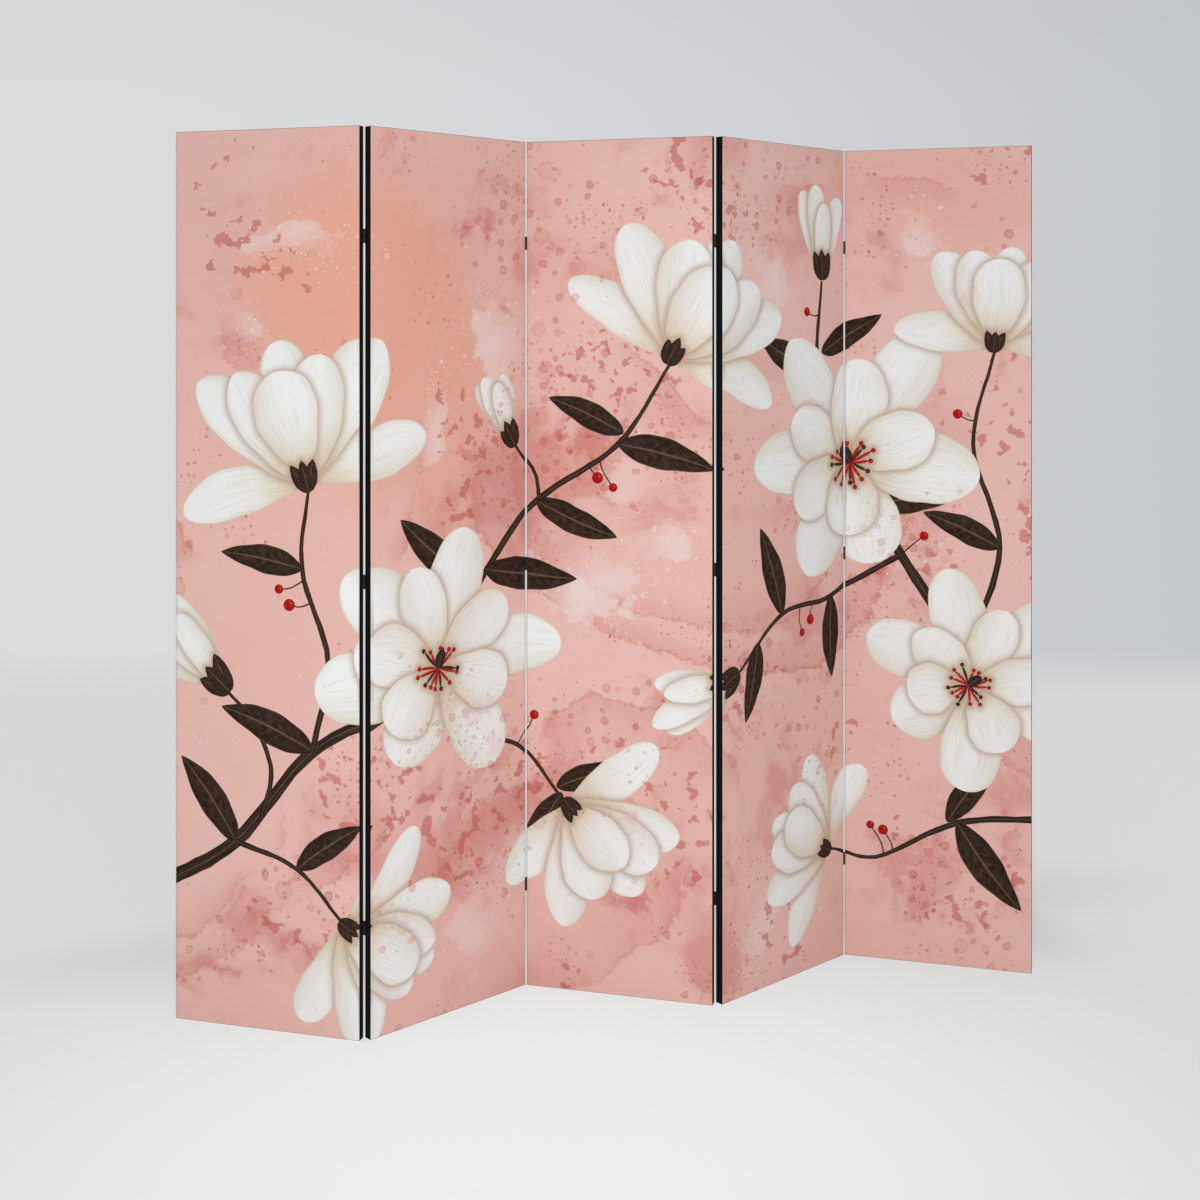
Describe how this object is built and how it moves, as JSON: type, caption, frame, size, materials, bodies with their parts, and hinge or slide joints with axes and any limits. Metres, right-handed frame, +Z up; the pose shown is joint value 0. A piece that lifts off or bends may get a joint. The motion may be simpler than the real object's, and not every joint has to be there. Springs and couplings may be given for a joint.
{
  "type": "folding screen",
  "caption": "Free-standing folding screen: tall canvas-covered panels with black edges, joined by small butt hinges, printed with pale blossoms on a pink watercolour ground.",
  "frame": {"origin": "on the floor, under the middle of the middle panel, which is the centre of the whole zigzag", "axes": "+X runs along the screen to the right as seen from its front, +Y away from its front, +Z up"},
  "size_m": [1.612, 0.1946, 1.6],
  "materials": {
    "printed_canvas": "matt printed canvas",
    "edge_tape": "black cloth tape",
    "pine": "planed pine, unfinished",
    "hinge_metal": "satin black",
    "pin_steel": "blackened steel",
    "screw_steel": "black zinc"
  },
  "bodies": {
    "panel_1": {"panel_1_stile_left": "pine", "panel_1_stile_right": "pine", "panel_1_canvas_front": "printed_canvas", "panel_1_canvas_back": "printed_canvas", "panel_1_edge_tape": "edge_tape", "panel_1_screws": "screw_steel", "panel_1_rail_bottom": "pine", "panel_1_rail_middle": "pine", "panel_1_rail_top": "pine", "fold_1_left_leaves": "hinge_metal", "fold_1_pins": "pin_steel"},
    "panel_2": {"panel_2_stile_left": "pine", "panel_2_stile_right": "pine", "panel_2_canvas_front": "printed_canvas", "panel_2_canvas_back": "printed_canvas", "panel_2_edge_tape": "edge_tape", "panel_2_screws": "screw_steel", "panel_2_rail_bottom": "pine", "panel_2_rail_middle": "pine", "panel_2_rail_top": "pine", "fold_1_right_leaves": "hinge_metal", "fold_2_left_leaves": "hinge_metal", "fold_2_pins": "pin_steel"},
    "panel_3": {"panel_3_stile_left": "pine", "panel_3_stile_right": "pine", "panel_3_canvas_front": "printed_canvas", "panel_3_canvas_back": "printed_canvas", "panel_3_edge_tape": "edge_tape", "panel_3_screws": "screw_steel", "panel_3_rail_bottom": "pine", "panel_3_rail_middle": "pine", "panel_3_rail_top": "pine", "fold_2_right_leaves": "hinge_metal", "fold_3_left_leaves": "hinge_metal", "fold_3_pins": "pin_steel"},
    "panel_4": {"panel_4_stile_left": "pine", "panel_4_stile_right": "pine", "panel_4_canvas_front": "printed_canvas", "panel_4_canvas_back": "printed_canvas", "panel_4_edge_tape": "edge_tape", "panel_4_screws": "screw_steel", "panel_4_rail_bottom": "pine", "panel_4_rail_middle": "pine", "panel_4_rail_top": "pine", "fold_3_right_leaves": "hinge_metal", "fold_4_left_leaves": "hinge_metal", "fold_4_pins": "pin_steel"},
    "panel_5": {"panel_5_stile_left": "pine", "panel_5_stile_right": "pine", "panel_5_canvas_front": "printed_canvas", "panel_5_canvas_back": "printed_canvas", "panel_5_edge_tape": "edge_tape", "panel_5_screws": "screw_steel", "panel_5_rail_bottom": "pine", "panel_5_rail_middle": "pine", "panel_5_rail_top": "pine", "fold_4_right_leaves": "hinge_metal"}
  },
  "joints": [
    {"name": "fold_2", "type": "hinge", "parent": "panel_3", "child": "panel_2", "pos_m": [-0.16148, 0.08191, 0.8], "axis": [0, 0, 1], "range_deg": [-60, 120]},
    {"name": "fold_1", "type": "hinge", "parent": "panel_2", "child": "panel_1", "pos_m": [-0.48443, -0.08191, 0.8], "axis": [0, 0, -1], "range_deg": [-60, 120]},
    {"name": "fold_3", "type": "hinge", "parent": "panel_3", "child": "panel_4", "pos_m": [0.16148, -0.08191, 0.8], "axis": [0, 0, 1], "range_deg": [-60, 120]},
    {"name": "fold_4", "type": "hinge", "parent": "panel_4", "child": "panel_5", "pos_m": [0.48443, 0.08191, 0.8], "axis": [0, 0, -1], "range_deg": [-60, 120]}
  ],
  "couplings": [
    {"joint": "fold_4", "follows": "fold_1", "ratio": 1}
  ]
}
